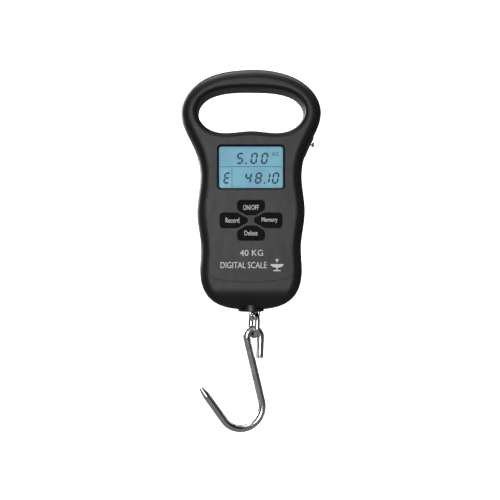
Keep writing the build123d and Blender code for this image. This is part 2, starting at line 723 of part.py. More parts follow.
def link_foot():
    """Centre of the link's lower end, where the hook hangs."""
    lean = math.radians(LINK_LEAN)
    turn = math.radians(EYE_TURN)
    across = EYE_OFFSET - LINK_LENGTH * math.sin(lean)
    drop = LINK_TOP_Z - LINK_LENGTH * math.cos(lean)
    return across * math.cos(turn), across * math.sin(turn), drop


def hook_path():
    """Centre line of the hook's wire from the open leg to the start of the tapered tip."""
    leg = Spline(HOOK_LEG_END, (HOOK_EYE_R, 0), tangents=[(0, 1), (0, 1)])
    eye = CenterArc((0, 0), HOOK_EYE_R, 0, 180 + HOOK_LEAN)
    shank = Line(eye @ 1, eye @ 1 + (eye % 1) * HOOK_SHANK)
    centre = shank @ 1 + Vector(-HOOK_BEND_R, 0).rotate(Axis.Z, HOOK_LEAN)
    bend = CenterArc(centre, HOOK_BEND_R, HOOK_LEAN, -HOOK_BEND_SWEEP)
    arm = Line(bend @ 1, bend @ 1 + (bend % 1) * HOOK_ARM)
    return Plane.XZ * Wire([leg, eye, shank, bend, arm])


def wire_end(at, direction, end_radius, length, rounding):
    """Rounded end for the hook's wire, tapering to end_radius over its length."""
    profile = [(0, 0), (HOOK_WIRE_R, 0), (end_radius, length), (0, length)]
    end = revolve(Plane.XZ * make_face(Polyline(*profile, close=True)), Axis.Z)
    end = fillet(end.edges().filter_by(GeomType.CIRCLE).sort_by(Axis.Z)[-1], rounding)
    return Plane(origin=at, z_dir=direction).location * end


def make_hook():
    """Wire hook: bent eye, leaning shank, round bend and a straight arm with a blunt tip."""
    path = hook_path()
    hook = sweep(Plane(origin=path @ 0, z_dir=path % 0) * Circle(HOOK_WIRE_R), path)
    hook += wire_end(path @ 0, (path % 0) * -1, HOOK_WIRE_R, HOOK_LEG_CAP, HOOK_LEG_CAP * 0.6)
    hook += wire_end(path @ 1, path % 1, HOOK_TIP_R, HOOK_TAPER, HOOK_TIP_R * 0.8)
    foot_x, foot_y, foot_z = link_foot()
    eye_z = foot_z + LINK_WIRE_R + HOOK_SEAT + HOOK_WIRE_R - HOOK_EYE_R
    return Pos(foot_x, foot_y, eye_z) * Rot(0, 0, HOOK_TURN) * hook


def make_tape_axle():
    return rod_y(AXLE_R, COVER_Y[0] - 0.6, REAR_INNER_Y - 0.1, REEL_X, REEL_Z)


def make_tape_drum():
    """Drum with a flange at each side of the tape and a pocket for the spring."""
    front = REEL_FRONT_Y
    back = REEL_BACK_Y
    body = rod_y(HUB_R, front, back, REEL_X, REEL_Z)
    body += rod_y(FLANGE_R, front, front + FLANGE_THICK, REEL_X, REEL_Z)
    body += rod_y(FLANGE_R, back - FLANGE_THICK, back, REEL_X, REEL_Z)
    body -= rod_y(HUB_R - HUB_WALL, front - 1, back - FLANGE_THICK, REEL_X, REEL_Z)
    return body - rod_y(AXLE_R + 0.05, front - 1, back + 1, REEL_X, REEL_Z)


def tape_ring():
    return TAPE_Y - TAPE_WIDTH / 2, TAPE_Y + TAPE_WIDTH / 2


def make_tape_coil():
    low, high = tape_ring()
    coil = rod_y(COIL_R, low, high, REEL_X, REEL_Z)
    return coil - rod_y(HUB_R + 0.02, low - 1, high + 1, REEL_X, REEL_Z)


def make_tape_blade():
    """The straight run of the tape, from the coil to the tab."""
    return box_between((REEL_X, TAB_X[0] + 0.9), tape_ring(), (TAPE_Z, TAPE_Z + TAPE_THICK))


def make_tape_tab():
    tab = box_between(TAB_X, (TAPE_Y - 3.7, TAPE_Y + 3.7), (TAPE_Z - 1.2, TAPE_Z + 1.2))
    tab = fillet(tab.edges().filter_by(Axis.Y), 0.4)
    return tab - make_tape_blade()


def make_tape_end_hook():
    """Metal lip at the end of the tape, hanging below the tab."""
    return box_between((TAB_X[1], TAB_X[1] + 0.5), (TAPE_Y - 3, TAPE_Y + 3), (TAPE_Z - 4.3, TAPE_Z + 0.9))


def make_tape_spring():
    """Flat spiral spring in the drum's pocket."""
    inner = AXLE_R + 0.2
    outer = HUB_R - HUB_WALL - 0.2
    thick = 0.25
    steps = 12 * SPRING_TURNS

    def spiral(extra):
        points = []
        for step in range(steps + 1):
            share = step / steps
            radius = inner + extra + (outer - inner - thick) * share
            turn = 2 * math.pi * SPRING_TURNS * share
            points.append((radius * math.cos(turn), radius * math.sin(turn)))
        return points

    inside = Spline(*spiral(0))
    outside = Spline(*spiral(thick))
    ends = [Line(inside @ 0, outside @ 0), Line(inside @ 1, outside @ 1)]
    face = Plane.XZ * (Pos(REEL_X, REEL_Z) * make_face([inside, outside, *ends]))
    return prism(face, REEL_FRONT_Y + 1.0, REEL_BACK_Y - FLANGE_THICK - 0.2)


def make_tape_cover():
    """Plate over the tape drum, screwed to two posts of the rear casing."""
    cover = rod_y(FLANGE_R, *COVER_Y, REEL_X, REEL_Z)
    strap = rect_face(2 * COVER_EAR + 5, 5, REEL_X, REEL_Z, 2.4)
    cover += prism(strap, *COVER_Y)
    for x in (REEL_X - COVER_EAR, REEL_X + COVER_EAR):
        cover -= rod_y(1.0, COVER_Y[0] - 1, COVER_Y[1] + 1, x, REEL_Z)
    return cover - rod_y(AXLE_R + 0.02, COVER_Y[0] - 1, COVER_Y[1] + 1, REEL_X, REEL_Z)


def make_parts():
    parts = {
        "front_shell": make_front_shell(),
        "rear_shell": make_rear_shell(),
        "handle_grip": make_handle_grip(),
        "hook_bush": make_hook_bush(),
        "case_screws": make_case_screws(),
        "lcd_window": make_lcd_window(),
        "lcd_glass": make_lcd_glass(),
        "lcd_backlight": make_lcd_backlight(),
        "lcd_holder": make_lcd_holder(),
        "zebra_strips": make_zebra_strips(),
        "main_board": make_main_board(),
        "controller_chip": make_controller_chip(),
        "board_components": make_board_components(),
        "board_screws": make_board_screws(),
        "switch_bases": make_switch_bases(),
        "load_cell": make_load_cell(),
        "strain_gauges": make_strain_gauges(),
        "cell_cable": make_cell_cable(),
        "hanger_plate": make_hanger_plate(),
        "hanger_screws": make_hanger_screws(),
        "cell_screws": make_cell_screws(),
        "eye_nut": make_eye_nut(),
        "load_eye": make_load_eye(),
        "link": make_link(),
        "hook": make_hook(),
        "batteries": make_batteries(),
        "battery_contacts": make_battery_contacts(),
        "battery_springs": make_battery_springs(),
        "battery_wires": make_battery_wires(),
        "battery_door": make_battery_door(),
        "tape_axle": make_tape_axle(),
        "tape_drum": make_tape_drum(),
        "tape_coil": make_tape_coil(),
        "tape_blade": make_tape_blade(),
        "tape_tab": make_tape_tab(),
        "tape_end_hook": make_tape_end_hook(),
        "tape_spring": make_tape_spring(),
        "tape_cover": make_tape_cover(),
        "cover_screws": make_cover_screws(),
    }
    for name in PETALS:
        parts[f"button_{name}"] = make_button(name)
        parts[f"plunger_{name}"] = make_plunger(name)
    return parts


def lowered(shape):
    """The part with the centre of the finger opening at the origin, solid by solid."""
    solids = [Pos(0, 0, -HOLD_Z) * solid for solid in shape.solids()]
    return Compound(children=solids) if len(solids) > 1 else solids[0]


os.makedirs("parts", exist_ok=True)
for node, shape in make_parts().items():
    export_step(lowered(shape), f"parts/{node}.step")
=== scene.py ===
import json
import math

import bmesh
import bpy
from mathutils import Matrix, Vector

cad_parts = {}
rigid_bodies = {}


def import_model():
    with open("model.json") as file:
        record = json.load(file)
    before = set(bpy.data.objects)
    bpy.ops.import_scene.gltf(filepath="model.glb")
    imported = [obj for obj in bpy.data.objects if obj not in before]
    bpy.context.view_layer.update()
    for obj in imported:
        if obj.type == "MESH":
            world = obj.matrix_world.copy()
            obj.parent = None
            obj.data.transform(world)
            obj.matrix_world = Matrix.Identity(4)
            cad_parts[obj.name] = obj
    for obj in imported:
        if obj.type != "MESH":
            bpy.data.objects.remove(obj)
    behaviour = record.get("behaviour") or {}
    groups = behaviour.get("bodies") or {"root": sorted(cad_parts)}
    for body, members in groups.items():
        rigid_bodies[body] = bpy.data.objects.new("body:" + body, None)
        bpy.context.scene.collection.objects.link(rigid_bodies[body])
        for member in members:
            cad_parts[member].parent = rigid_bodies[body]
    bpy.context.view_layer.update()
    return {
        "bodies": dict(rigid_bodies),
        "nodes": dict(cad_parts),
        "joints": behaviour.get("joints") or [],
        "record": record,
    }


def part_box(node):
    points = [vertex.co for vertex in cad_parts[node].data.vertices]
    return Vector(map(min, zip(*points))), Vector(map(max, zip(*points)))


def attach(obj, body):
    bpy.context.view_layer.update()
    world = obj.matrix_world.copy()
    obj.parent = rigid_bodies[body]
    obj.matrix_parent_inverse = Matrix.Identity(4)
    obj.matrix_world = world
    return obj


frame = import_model()

# Looks for the digital fish scale. Metres; X right, front faces -Y, Z up from the finger opening.

MM = 0.001

# ---- camera: level with the middle of the whole object, square on to its front ----
CAMERA_AT = (-0.7 * MM, -717 * MM, -99.4 * MM)
SENSOR = 36.0
LENS = 72.0

# ---- paper backdrop ----
FLOOR_Z = -313 * MM
FLOOR_FRONT_Y = -1.6
FLOOR_HALF_WIDTH = 2.0
WALL_Y = 700 * MM
WALL_TOP_Z = 1.6
SWEEP_R = 300 * MM
SWEEP_STEPS = 12

# ---- display ----
LCD_Z = -41.1 * MM
LCD_SLANT = math.tan(math.radians(9.0))
LCD_LINE = 0.35 * MM
LIT_HALF = (20.5 * MM, 12.2 * MM)      # evenly lit part of the display, from its middle
LIT_FADE = 3.5 * MM
PAINTED_FRAME_SHADE_HALF = (24.2 * MM, 16.3 * MM)    # painted shade with a painted blue reflection of the display, on the recessed frame round the display
FRAME_DEPTH = 3.0 * MM
DIGIT_WIDTH = 6.0 * MM
DIGIT_HEIGHT = 8.1 * MM
DIGIT_STROKE = 1.25 * MM
DIGIT_GAP = 0.10 * MM
FILM = 0.02 * MM          # thickness of the display's segments
SEGMENTS = {"0": "abcdef", "1": "bc", "4": "bcfg", "5": "acdfg", "8": "abcdefg", "E": "adefg"}
TOP_ROW_Z = LCD_Z + 2.4 * MM
LOW_ROW_Z = LCD_Z - 11.5 * MM
TOP_ROW = (("5", -10.7), ("0", -0.8), ("0", 6.6))                                 # left sides in mm
LOW_ROW = (("E", -19.9), ("4", -4.9), ("8", 2.3), ("1", 8.2), ("0", 14.4))
TOP_POINT_X = -4.1 * MM
LOW_POINT_X = 9.0 * MM
RULE_Z = LCD_Z + 0.4 * MM              # long rule between the rows
RULE_END_X = 21.8 * MM
DIVIDER_X = -13.6 * MM                 # short rule beside the lower row's letter
DIVIDER_FOOT_Z = LCD_Z - 13.8 * MM

# ---- printing ----
PANEL_Y = -14.0 * MM
CAP_Y = -14.9 * MM
INK = 0.03 * MM
INK_SUNK = 0.01 * MM
CAPACITY_Z = -101.4 * MM
NAME_Z = -110.0 * MM
MARK_X = 18.3 * MM
MARK_RADIUS = 4.6 * MM
BUTTON_WORDS = (           # button, word, width, height and shift across, in mm
    ("power", "ON/OFF", 11.0, 3.5, 0.0),
    ("record", "Record", 9.6, 3.5, -0.9),
    ("memory", "Memory", 11.2, 4.2, 0.9),
    ("delete", "Delete", 9.2, 3.5, 0.0),
)

# ---- tape ----
TAPE_MARKED = 30           # millimetres of the modelled blade that carry marks
TICK_WIDTH = 0.16 * MM
TICK_MARGIN = 0.2 * MM
TICK_FILM = 0.01 * MM

# ---- colour sockets of a mix node set to RGBA ----
MIX_FIRST, MIX_SECOND, MIX_OUT = 6, 7, 2


# ---------------------------------------------------------------- node helpers

class Graph:
    """A material's node tree with short calls for the nodes used here."""

    def __init__(self, name):
        self.material = bpy.data.materials.new(name)
        self.material.use_nodes = True
        self.tree = self.material.node_tree
        self.tree.nodes.clear()
        self.output = self.tree.nodes.new("ShaderNodeOutputMaterial")
        self.place = self.tree.nodes.new("ShaderNodeTexCoord").outputs["Object"]

    def node(self, kind, settings=None, **links):
        """Adds a node. Each link is an input's name, with _ for a space, and its value or socket."""
        made = self.tree.nodes.new(kind)
        for key, value in (settings or {}).items():
            setattr(made, key, value)
        for key, value in links.items():
            self.feed(made.inputs[key.replace("_", " ")], value)
        return made

    def feed(self, socket, value):
        """Links a socket to an input, or sets the input to a plain value."""
        if isinstance(value, bpy.types.NodeSocket):
            self.tree.links.new(value, socket)
        else:
            socket.default_value = value

    def math(self, operation, first, second=0.0):
        made = self.node("ShaderNodeMath", {"operation": operation})
        self.feed(made.inputs[0], first)
        self.feed(made.inputs[1], second)
        return made.outputs[0]

    def noise(self, size, detail=3.0, stretch=None):
        """Noise whose patches are about size metres across."""
        place = self.place
        if stretch:
            place = self.node("ShaderNodeMapping", Vector=place, Scale=stretch).outputs[0]
        return self.node("ShaderNodeTexNoise", Vector=place, Scale=1 / size, Detail=detail).outputs["Fac"]

    def spread(self, value, low, high):
        """Maps a 0.3 to 0.7 texture value onto low to high."""
        made = self.node("ShaderNodeMapRange", Value=value, From_Min=0.3, From_Max=0.7,
                         To_Min=low, To_Max=high)
        return made.outputs[0]

    def mix(self, factor, first, second):
        made = self.node("ShaderNodeMix", {"data_type": "RGBA"})
        self.feed(made.inputs["Factor"], factor)
        self.feed(made.inputs[MIX_FIRST], first)
        self.feed(made.inputs[MIX_SECOND], second)
        return made.outputs[MIX_OUT]

    def axis(self, letter):
        """The place along one axis, in metres."""
        return self.node("ShaderNodeSeparateXYZ", Vector=self.place).outputs[letter]

    def within(self, value, centre, half, soft):
        """1 where value is within half of centre, falling to 0 over soft."""
        away = self.math("ABSOLUTE", self.math("SUBTRACT", value, centre))
        made = self.node("ShaderNodeMapRange", Value=away, From_Min=half, From_Max=half + soft,
                         To_Min=1.0, To_Max=0.0)
        return made.outputs[0]

    def bump(self, height, distance, normal=None):
        made = self.node("ShaderNodeBump", Height=height, Distance=distance)
        if normal:
            self.feed(made.inputs["Normal"], normal)
        return made.outputs[0]

    def finish(self, shader):
        self.tree.links.new(shader, self.output.inputs["Surface"])
        return self.material


def rgb(red, green, blue):
    return (red, green, blue, 1.0)


def shade(colour, factor):
    """The colour made lighter or darker by factor."""
    return tuple(c * factor for c in colour[:3]) + (1.0,)


def surface(name, colour, roughness, grain=0.3 * MM, depth=0.01 * MM, metallic=0.0, edge=0.0,
            variation=0.18, **extra):
    """Principled surface with uneven colour, smudged roughness, a fine grain and soft edges."""
    graph = Graph(name)
    patches = graph.noise(14 * MM)
    tone = graph.mix(graph.spread(patches, 0.0, 1.0), shade(colour, 1 - variation),
                     shade(colour, 1 + variation))
    smudges = graph.noise(5 * MM, 5.0)
    rough = graph.spread(smudges, roughness * 0.82, min(1.0, roughness * 1.18))
    rounded = None
    if edge:
        rounded = graph.node("ShaderNodeBevel", {"samples": 4}, Radius=edge).outputs[0]
    normal = graph.bump(graph.noise(grain, 2.0), depth, normal=rounded)
    shader = graph.node("ShaderNodeBsdfPrincipled", Base_Color=tone, Roughness=rough, Metallic=metallic,
                        Normal=normal, **extra)
    return graph.finish(shader.outputs[0])


# ------------------------------------------------------------------- materials

def casing_plastic():
    """Grained charcoal plastic, with painted shade and a painted blue reflection of the display making it
    nearly black on the recessed frame round the display.
    """
    graph = Graph("casing_plastic")
    colour = graph.mix(graph.spread(graph.noise(22 * MM), 0.0, 1.0), rgb(0.0120, 0.0116, 0.0112),
                       rgb(0.0155, 0.0150, 0.0145))
    # mask of the recess walls round the display, where painted shade and a painted blue reflection go
    frame_shade_x = graph.within(graph.axis("X"), 0.0, PAINTED_FRAME_SHADE_HALF[0], 0.1 * MM)
    frame_shade_z = graph.within(graph.axis("Z"), LCD_Z, PAINTED_FRAME_SHADE_HALF[1], 0.1 * MM)
    panel_clearance = 0.06 * MM
    sunk = graph.within(graph.axis("Y"), PANEL_Y + FRAME_DEPTH / 2, FRAME_DEPTH / 2 - panel_clearance,
                        0.02 * MM)
    frame = graph.math("MULTIPLY", graph.math("MULTIPLY", frame_shade_x, frame_shade_z), sunk)
    # painted shade: the recess walls are coloured nearly black, tinted navy as a painted reflection of the
    # lit display
    colour = graph.mix(frame, colour, rgb(0.004, 0.007, 0.014))
    scuffs = graph.noise(3 * MM, 6.0, stretch=(1.0, 1.0, 0.35))
    rough = graph.spread(scuffs, 0.37, 0.42)
    rounded = graph.node("ShaderNodeBevel", {"samples": 4}, Radius=0.25 * MM).outputs[0]
    normal = graph.bump(graph.noise(0.35 * MM, 2.0), 0.012 * MM, normal=rounded)
    shader = graph.node("ShaderNodeBsdfPrincipled", Base_Color=colour, Roughness=rough, Normal=normal,
                        Specular_IOR_Level=0.24)
    return graph.finish(shader.outputs[0])


def grip_rubber():
    """Soft grey rubber with rows of small raised dots."""
    graph = Graph("grip_rubber")
    dots = graph.node("ShaderNodeTexVoronoi", Vector=graph.place, Scale=1 / (1.5 * MM), Randomness=0.15)
    height = graph.within(dots.outputs["Distance"], 0.0, 0.22, 0.16)
    tone = graph.mix(graph.noise(9 * MM), rgb(0.026, 0.026, 0.025), rgb(0.042, 0.042, 0.040))
    rough = graph.spread(graph.noise(3 * MM), 0.55, 0.72)
    shader = graph.node("ShaderNodeBsdfPrincipled", Base_Color=tone, Roughness=rough,
                        Normal=graph.bump(height, 0.16 * MM))
    return graph.finish(shader.outputs[0])


def window_clear():
    """Clear cover with a faint reflection and a few fine scratches."""
    graph = Graph("window_clear")
    scratches = graph.noise(0.5 * MM, 4.0, stretch=(0.08, 1.0, 1.0))
    gloss = graph.node("ShaderNodeBsdfGlossy", Roughness=graph.spread(scratches, 0.14, 0.24))
    clear = graph.node("ShaderNodeBsdfTransparent", Color=rgb(0.97, 0.98, 0.99))
    facing = graph.node("ShaderNodeFresnel", IOR=1.12).outputs[0]
    mixed = graph.node("ShaderNodeMixShader")
    graph.feed(mixed.inputs[0], facing)
    graph.feed(mixed.inputs[1], clear.outputs[0])
    graph.feed(mixed.inputs[2], gloss.outputs[0])
    return graph.finish(mixed.outputs[0])


def display_glass():
    """Lit display: pale blue, a little uneven, darker towards its edges."""
    graph = Graph("display_glass")
    deep_blue, pale_blue = rgb(0.105, 0.315, 0.430), rgb(0.140, 0.400, 0.500)
    uneven = graph.spread(graph.noise(16 * MM), 0.0, 1.0)
    lit = graph.mix(uneven, deep_blue, pale_blue)
    inner_x = graph.within(graph.axis("X"), 0.0, LIT_HALF[0], LIT_FADE)
    inner_z = graph.within(graph.axis("Z"), LCD_Z, LIT_HALF[1], LIT_FADE)
    inner = graph.math("MULTIPLY", inner_x, inner_z)
    lit = graph.mix(inner, shade(deep_blue, 0.86), lit)
    rough = graph.spread(graph.noise(1.5 * MM), 0.18, 0.30)
    shader = graph.node("ShaderNodeBsdfPrincipled", Base_Color=shade(rgb(0.1, 0.3, 0.4), 0.1),
                        Roughness=rough, IOR=1.2, Emission_Color=lit, Emission_Strength=0.92,
                        Normal=graph.bump(graph.noise(0.4 * MM), 0.002 * MM))
    return graph.finish(shader.outputs[0])


def board_green():
    """Solder mask over copper tracks."""
    graph = Graph("board_green")
    upright = graph.node("ShaderNodeMapping", Vector=graph.place, Rotation=(math.radians(90), 0, 0))
    tracks = graph.node("ShaderNodeTexBrick", Vector=upright.outputs[0], Scale=1 / (4 * MM),
                        Mortar_Size=0.05, Color1=rgb(0.006, 0.060, 0.022),
                        Color2=rgb(0.008, 0.072, 0.028), Mortar=rgb(0.020, 0.150, 0.055))
    normal = graph.bump(tracks.outputs["Fac"], 0.03 * MM)
    rough = graph.spread(graph.noise(4 * MM), 0.28, 0.42)
    shader = graph.node("ShaderNodeBsdfPrincipled", Base_Color=tracks.outputs["Color"], Roughness=rough,
                        Normal=normal)
    return graph.finish(shader.outputs[0])


def component_mix():
    """Small parts on the board: tan and black bodies, picked by place."""
    graph = Graph("component_mix")
    cells = graph.node("ShaderNodeTexVoronoi", Vector=graph.place, Scale=1 / (5 * MM)).outputs["Color"]
    pick = graph.math("GREATER_THAN", graph.node("ShaderNodeSeparateColor", Color=cells).outputs[0], 0.5)
    colour = graph.mix(pick, rgb(0.22, 0.14, 0.07), rgb(0.02, 0.02, 0.022))
    rough = graph.spread(graph.noise(1 * MM), 0.35, 0.55)
    shader = graph.node("ShaderNodeBsdfPrincipled", Base_Color=colour, Roughness=rough,
                        Normal=graph.bump(graph.noise(0.2 * MM), 0.01 * MM))
    return graph.finish(shader.outputs[0])


def gauge_film():
    """Amber film with the fine grid of the gauge's foil."""
    graph = Graph("gauge_film")
    grid = graph.node("ShaderNodeTexWave", {"bands_direction": "X"}, Vector=graph.place,
                      Scale=1 / (2.5 * MM), Distortion=0.2).outputs["Fac"]
    foil = graph.math("GREATER_THAN", grid, 0.55)
    colour = graph.mix(foil, rgb(0.55, 0.26, 0.05), rgb(0.50, 0.42, 0.32))
    rough = graph.spread(graph.noise(1 * MM), 0.25, 0.45)
    shine = graph.math("MULTIPLY", foil, 0.8)
    shader = graph.node("ShaderNodeBsdfPrincipled", Base_Color=colour, Metallic=shine, Roughness=rough,
                        Normal=graph.bump(foil, 0.01 * MM))
    return graph.finish(shader.outputs[0])


def chrome_wire():
    """Plated wire with faint drawing lines, light pitting and duller patches."""
    graph = Graph("chrome_wire")
    tone = graph.mix(graph.noise(6 * MM), rgb(0.62, 0.62, 0.63), rgb(0.78, 0.78, 0.79))
    patches = graph.spread(graph.noise(3 * MM, 5.0), 0.06, 0.19)
    lines = graph.noise(0.25 * MM, 3.0, stretch=(1.0, 1.0, 0.06))
    pits = graph.noise(0.7 * MM, 2.0)
    normal = graph.bump(lines, 0.006 * MM, normal=graph.bump(pits, 0.006 * MM))
    shader = graph.node("ShaderNodeBsdfPrincipled", Base_Color=tone, Metallic=1.0, Roughness=patches,
                        Normal=normal)
    return graph.finish(shader.outputs[0])


def battery_jacket():
    """Printed sleeve with a paler band, and bare metal at both ends."""
    graph = Graph("battery_jacket")
    low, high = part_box("batteries")
    middle = (low.z + high.z) / 2
    sleeve_half = 20.6 * MM
    height = graph.axis("Z")
    band = graph.within(height, middle - 10 * MM, 5 * MM, 0.2 * MM)
    sleeve = graph.mix(band, rgb(0.016, 0.035, 0.090), rgb(0.45, 0.46, 0.48))
    metal = graph.math("SUBTRACT", 1.0, graph.within(height, middle, sleeve_half, 0.1 * MM))
    colour = graph.mix(metal, sleeve, rgb(0.60, 0.60, 0.58))
    rough = graph.spread(graph.noise(4 * MM), 0.22, 0.38)
    shader = graph.node("ShaderNodeBsdfPrincipled", Base_Color=colour, Metallic=metal, Roughness=rough,
                        Normal=graph.bump(graph.noise(1 * MM), 0.008 * MM))
    return graph.finish(shader.outputs[0])


def light_plate():
    """Milky light guide with a grid of tiny extraction dots."""
    graph = Graph("light_plate")
    dots = graph.node("ShaderNodeTexVoronoi", Vector=graph.place, Scale=1 / (1.0 * MM), Randomness=0.0)
    tone = graph.mix(graph.within(dots.outputs["Distance"], 0.0, 0.2, 0.1), rgb(0.55, 0.64, 0.68),
                     rgb(0.80, 0.88, 0.92))
    rough = graph.spread(graph.noise(4 * MM), 0.20, 0.34)
    shader = graph.node("ShaderNodeBsdfPrincipled", Base_Color=tone, Roughness=rough,
                        Normal=graph.bump(graph.noise(0.8 * MM), 0.004 * MM))
    return graph.finish(shader.outputs[0])


def make_materials():
    """One material for each of the record's slots, and the inks of the added pieces."""
    steel = rgb(0.50, 0.50, 0.51)
    return {
        "casing_plastic": casing_plastic(),
        "grip_plastic": grip_rubber(),
        "collar_plastic": surface("collar_plastic", rgb(0.012, 0.012, 0.012), 0.38, edge=0.15 * MM),
        "button_rubber": surface("button_rubber", rgb(0.005, 0.0045, 0.0035), 0.75, grain=0.2 * MM,
                                 edge=0.2 * MM, IOR=1.25),
        "screw_steel": surface("screw_steel", steel, 0.32, metallic=1.0, edge=0.08 * MM),
        "window_clear": window_clear(),
        "display_glass": display_glass(),
        "light_plate": light_plate(),
        "black_plastic": surface("black_plastic", rgb(0.014, 0.014, 0.015), 0.50, edge=0.1 * MM),
        "zebra_rubber": surface("zebra_rubber", rgb(0.06, 0.06, 0.07), 0.65, grain=0.1 * MM),
        "board_green": board_green(),
        "component_mix": component_mix(),
        "plunger_plastic": surface("plunger_plastic", rgb(0.36, 0.33, 0.25), 0.42),
        "cell_aluminium": surface("cell_aluminium", rgb(0.62, 0.63, 0.65), 0.30, grain=0.15 * MM,
                                  metallic=1.0, edge=0.15 * MM),
        "gauge_film": gauge_film(),
        "wire_jacket": surface("wire_jacket", rgb(0.30, 0.015, 0.012), 0.42),
        "plate_steel": surface("plate_steel", steel, 0.28, grain=0.2 * MM, metallic=1.0, edge=0.1 * MM),
        "chrome_wire": chrome_wire(),
        "battery_jacket": battery_jacket(),
        "contact_metal": surface("contact_metal", rgb(0.58, 0.55, 0.48), 0.26, metallic=1.0, edge=0.05 * MM),
        "tape_strip": surface("tape_strip", rgb(0.62, 0.61, 0.54), 0.34, grain=0.6 * MM),
        "white_ink": surface("white_ink", rgb(0.72, 0.72, 0.70), 0.48, grain=0.1 * MM, depth=0.004 * MM,
                             variation=0.06),
        "black_ink": surface("black_ink", rgb(0.012, 0.012, 0.014), 0.45, grain=0.1 * MM, depth=0.004 * MM),
        "lcd_ink": surface("lcd_ink", rgb(0.004, 0.045, 0.090), 0.45, grain=0.2 * MM, depth=0.002 * MM,
                           IOR=1.1),
    }


def paint_cad_nodes(frame, materials):
    """Gives every CAD node the material of its slot in the record."""
    for part in frame["record"]["subparts"]:
        mesh = frame["nodes"][part["node"]].data
        mesh.materials.clear()
        mesh.materials.append(materials[part["material_slot"]])


# ---------------------------------------------------------------- added pieces

def finish_piece(obj, body, material):
    """Gives an added piece its material and lets it move with its body."""
    obj.data.materials.clear()
    obj.data.materials.append(material)
    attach(obj, body)
    return obj


def film_piece(name, outlines, front, depth, to_world):
    """One closed mesh of thin plates; to_world turns (across, up, out) into X, Y, Z."""
    mesh = bpy.data.meshes.new(name)
    builder = bmesh.new()
    for outline in outlines:
        rows = []
        for step in (0.0, depth):
            rows.append([builder.verts.new(to_world(a, u, front + step)) for a, u in outline])
        builder.faces.new(rows[0])
        builder.faces.new(reversed(rows[1]))
        count = len(outline)
        for i in range(count):
            j = (i + 1) % count
            builder.faces.new((rows[0][j], rows[0][i], rows[1][i], rows[1][j]))
    bmesh.ops.recalc_face_normals(builder, faces=builder.faces)
    builder.to_mesh(mesh)
    builder.free()
    obj = bpy.data.objects.new(name, mesh)
    bpy.context.scene.collection.objects.link(obj)
    return obj


def on_front(across, up, out):
    """Places a film on a face that looks to -Y."""
    return (across, out, up)


def on_tape(across, up, out):
    """Places a film on the blade's face, which looks to +Z."""
    return (across, up, out)


def bar(x0, x1, z0, z1):
    """Outline of an upright rectangle."""
    return [(x0, z0), (x1, z0), (x1, z1), (x0, z1)]


def segment(start, end):
    """Six-sided bar with pointed ends between two corners of a digit."""
    a, b = Vector(start), Vector(end)
    along = (b - a).normalized()
    side = Vector((-along.y, along.x)) * DIGIT_STROKE / 2
    a = a + along * DIGIT_GAP
    b = b - along * DIGIT_GAP
    point = along * DIGIT_STROKE / 2
    return [tuple(p) for p in (a, a + point + side, b - point + side, b, b - point - side, a + point - side)]


def digit(character, left, base):
    """Outlines of a slanted seven-segment character, in metres on the display's face."""
    low, mid, high = DIGIT_STROKE / 2, DIGIT_HEIGHT / 2, DIGIT_HEIGHT - DIGIT_STROKE / 2
    x0, x1 = DIGIT_STROKE / 2, DIGIT_WIDTH - DIGIT_HEIGHT * LCD_SLANT - DIGIT_STROKE / 2
    corners = {"a": ((x0, high), (x1, high)), "b": ((x1, mid), (x1, high)), "c": ((x1, low), (x1, mid)),
               "d": ((x0, low), (x1, low)), "e": ((x0, low), (x0, mid)), "f": ((x0, mid), (x0, high)),
               "g": ((x0, mid), (x1, mid))}
    outlines = [segment(*corners[s]) for s in SEGMENTS[character]]
    return [[(left + x + z * LCD_SLANT, base + z) for x, z in outline] for outline in outlines]


def lcd_row(row, base):
    """Outlines of a row of characters that stand on base."""
    outlines = []
    for character, left in row:
        outlines += digit(character, left * MM, base)
    return outlines


def lcd_content():
    """Both rows with their decimal points, the rule between them and the divider."""
    outlines = lcd_row(TOP_ROW, TOP_ROW_Z) + lcd_row(LOW_ROW, LOW_ROW_Z)
    for left, base in ((TOP_POINT_X, TOP_ROW_Z), (LOW_POINT_X, LOW_ROW_Z)):
        outlines.append(bar(left, left + DIGIT_STROKE, base, base + DIGIT_STROKE))
    outlines.append(bar(-RULE_END_X, RULE_END_X, RULE_Z, RULE_Z + LCD_LINE))
    outlines.append(bar(DIVIDER_X, DIVIDER_X + LCD_LINE, DIVIDER_FOOT_Z, RULE_Z))
    return outlines


def text_mesh(name, words, shear):
    """The words as a flat mesh, as thick as the ink."""
    curve = bpy.data.curves.new(name, "FONT")
    curve.body = words
    curve.size = 10 * MM
    curve.shear = shear
    curve.extrude = (INK + INK_SUNK) / 2
    curve.offset = 0.03 * MM
    curve.resolution_u = 3
    source = bpy.data.objects.new(name + ".curve", curve)
    bpy.context.scene.collection.objects.link(source)
    bpy.context.view_layer.update()
    mesh = bpy.data.meshes.new_from_object(source.evaluated_get(bpy.context.evaluated_depsgraph_get()))
    bpy.data.objects.remove(source)
    mesh.name = name
    return mesh


def lettering(name, words, centre, size, face_y, body, material, shear=0.0):
    """Words as a thin solid on a face that looks to -Y, fitted into size (width, height)."""
    mesh = text_mesh(name, words, shear)
    xs = [v.co.x for v in mesh.vertices]
    ys = [v.co.y for v in mesh.vertices]
    middle = Vector(((min(xs) + max(xs)) / 2, (min(ys) + max(ys)) / 2))
    scale = Vector((size[0] / (max(xs) - min(xs)), size[1] / (max(ys) - min(ys))))
    depth = face_y - (INK - INK_SUNK) / 2
    for vertex in mesh.vertices:
        x, y, z = vertex.co
        vertex.co = (centre[0] + (x - middle.x) * scale.x, depth - z, centre[1] + (y - middle.y) * scale.y)
    obj = bpy.data.objects.new(name, mesh)
    bpy.context.scene.collection.objects.link(obj)
    return finish_piece(obj, body, material)


